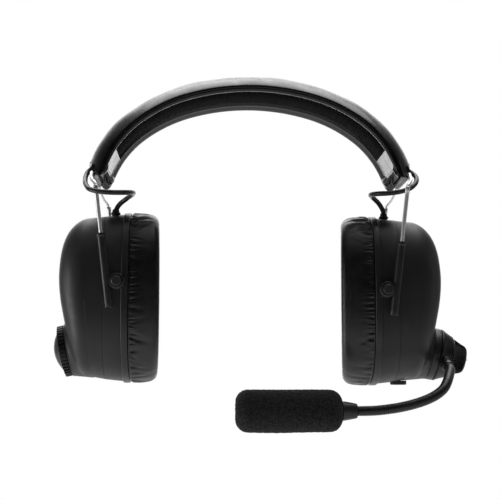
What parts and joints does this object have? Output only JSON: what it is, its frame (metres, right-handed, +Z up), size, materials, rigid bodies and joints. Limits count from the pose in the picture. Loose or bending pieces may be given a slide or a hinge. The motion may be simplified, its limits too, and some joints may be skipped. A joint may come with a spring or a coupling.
{
  "type": "headset microphone",
  "caption": "Over-ear padded headset with spring-wire sliders, a dial on one cup, and a knob with a swivelling gooseneck boom and foam-covered microphone on the other.",
  "frame": {"origin": "middle of the head pad's underside, where it rests on the head", "axes": "+X toward the cup with the microphone boom, -Y the way the wearer faces, +Z up"},
  "size_m": [0.2546, 0.1184, 0.2195],
  "materials": {
    "leatherette": "satin",
    "cushion_skin": "satin, wrinkled",
    "pad_fabric": "woven, matte",
    "foam": "open-cell, matte",
    "windscreen_foam": "open-cell, matte",
    "steel": "polished",
    "nickel": "satin",
    "black_metal": "satin",
    "black_rubber": "satin",
    "rubber": "matte",
    "board": "satin",
    "battery": "satin",
    "satin_plastic": "satin",
    "matte_plastic": "matte, fine texture"
  },
  "bodies": {
    "headband": {"headband_cover": "leatherette", "headband_pad": "pad_fabric", "headband_foam": "foam", "spring_strip": "steel", "left_band_clip": "matte_plastic", "right_band_clip": "matte_plastic", "strip_rivets": "steel", "crossover_lead": "black_rubber"},
    "left_fork": {"left_bail_wire": "steel", "left_front_rod": "steel", "left_rear_rod": "steel", "left_lead": "black_rubber"},
    "left_yoke": {"left_front_sleeve": "satin_plastic", "left_rear_sleeve": "satin_plastic"},
    "left_cup": {"left_pivot_screws": "matte_plastic", "left_cup_frame": "matte_plastic", "left_cup_cover": "matte_plastic", "left_cup_ring": "satin_plastic", "left_baffle": "matte_plastic", "left_cup_screws": "steel", "left_ear_cushion": "cushion_skin", "left_ear_liner": "foam", "left_driver": "matte_plastic", "left_circuit_board": "board", "left_battery": "battery", "left_grommet": "rubber", "left_dial_switch": "matte_plastic"},
    "left_dial": {"left_dial_ring": "matte_plastic"},
    "left_button": {"left_dial_button": "satin_plastic"},
    "right_fork": {"right_bail_wire": "steel", "right_front_rod": "steel", "right_rear_rod": "steel", "right_lead": "black_rubber"},
    "right_yoke": {"right_front_sleeve": "satin_plastic", "right_rear_sleeve": "satin_plastic"},
    "right_cup": {"right_pivot_screws": "matte_plastic", "right_cup_frame": "matte_plastic", "right_cup_cover": "matte_plastic", "right_cup_ring": "satin_plastic", "right_baffle": "matte_plastic", "right_cup_screws": "steel", "right_ear_cushion": "cushion_skin", "right_ear_liner": "foam", "right_driver": "matte_plastic", "right_circuit_board": "board", "right_grommet": "rubber", "boom_base": "matte_plastic", "port_socket": "nickel"},
    "boom": {"boom_collar": "matte_plastic", "boom_ferrule": "black_metal", "gooseneck": "black_rubber", "mic_housing": "satin_plastic", "mic_capsule": "nickel", "foam_windscreen": "windscreen_foam"},
    "volume_knob": {"volume_knob": "matte_plastic", "volume_spindle": "steel"},
    "port_cover": {"port_cover": "rubber"}
  },
  "joints": [
    {"name": "left_spread", "type": "hinge", "parent": "headband", "child": "left_fork", "pos_m": [-0.0965, 0, -0.0512], "axis": [0, 1, 0], "range_deg": [0, 13], "stiffness_Nm_per_rad": 3.5, "springref_deg": -1.72},
    {"name": "left_height", "type": "slide", "parent": "left_fork", "child": "left_yoke", "axis": [-0.1219, 0, 0.9925], "range_m": [-0.026, 0.006], "deforming": ["left_lead"]},
    {"name": "left_cup_tilt", "type": "hinge", "parent": "left_yoke", "child": "left_cup", "pos_m": [-0.0792, 0, -0.1194], "axis": [0, 1, 0], "range_deg": [-12, 12]},
    {"name": "left_dial_turn", "type": "hinge", "parent": "left_cup", "child": "left_dial", "pos_m": [-0.11114, 0, -0.1584], "axis": [-0.9806, 0, -0.1961], "range_deg": [-140, 140]},
    {"name": "left_button_press", "type": "slide", "parent": "left_dial", "child": "left_button", "axis": [0.9806, 0, 0.1961], "range_m": [0, 0.0012], "stiffness_N_per_m": 500, "springref_m": -0.001},
    {"name": "right_spread", "type": "hinge", "parent": "headband", "child": "right_fork", "pos_m": [0.0965, 0, -0.0512], "axis": [0, -1, 0], "range_deg": [0, 13], "stiffness_Nm_per_rad": 3.5, "springref_deg": -1.72},
    {"name": "right_height", "type": "slide", "parent": "right_fork", "child": "right_yoke", "axis": [0.1219, 0, 0.9925], "range_m": [-0.0217, 0.0103], "deforming": ["right_lead"]},
    {"name": "right_cup_tilt", "type": "hinge", "parent": "right_yoke", "child": "right_cup", "pos_m": [0.0792, 0, -0.1239], "axis": [0, -1, 0], "range_deg": [-12, 12]},
    {"name": "boom_swivel", "type": "hinge", "parent": "right_cup", "child": "boom", "pos_m": [0.11114, 0, -0.16], "axis": [0.9806, 0, -0.1961], "range_deg": [-60, 180]},
    {"name": "volume_turn", "type": "hinge", "parent": "right_cup", "child": "volume_knob", "pos_m": [0.11114, 0, -0.16], "axis": [0.9806, 0, -0.1961], "range_deg": [-140, 140]},
    {"name": "port_cover_pull", "type": "slide", "parent": "right_cup", "child": "port_cover", "axis": [0, 0, -1], "range_m": [0, 0.008]}
  ]
}
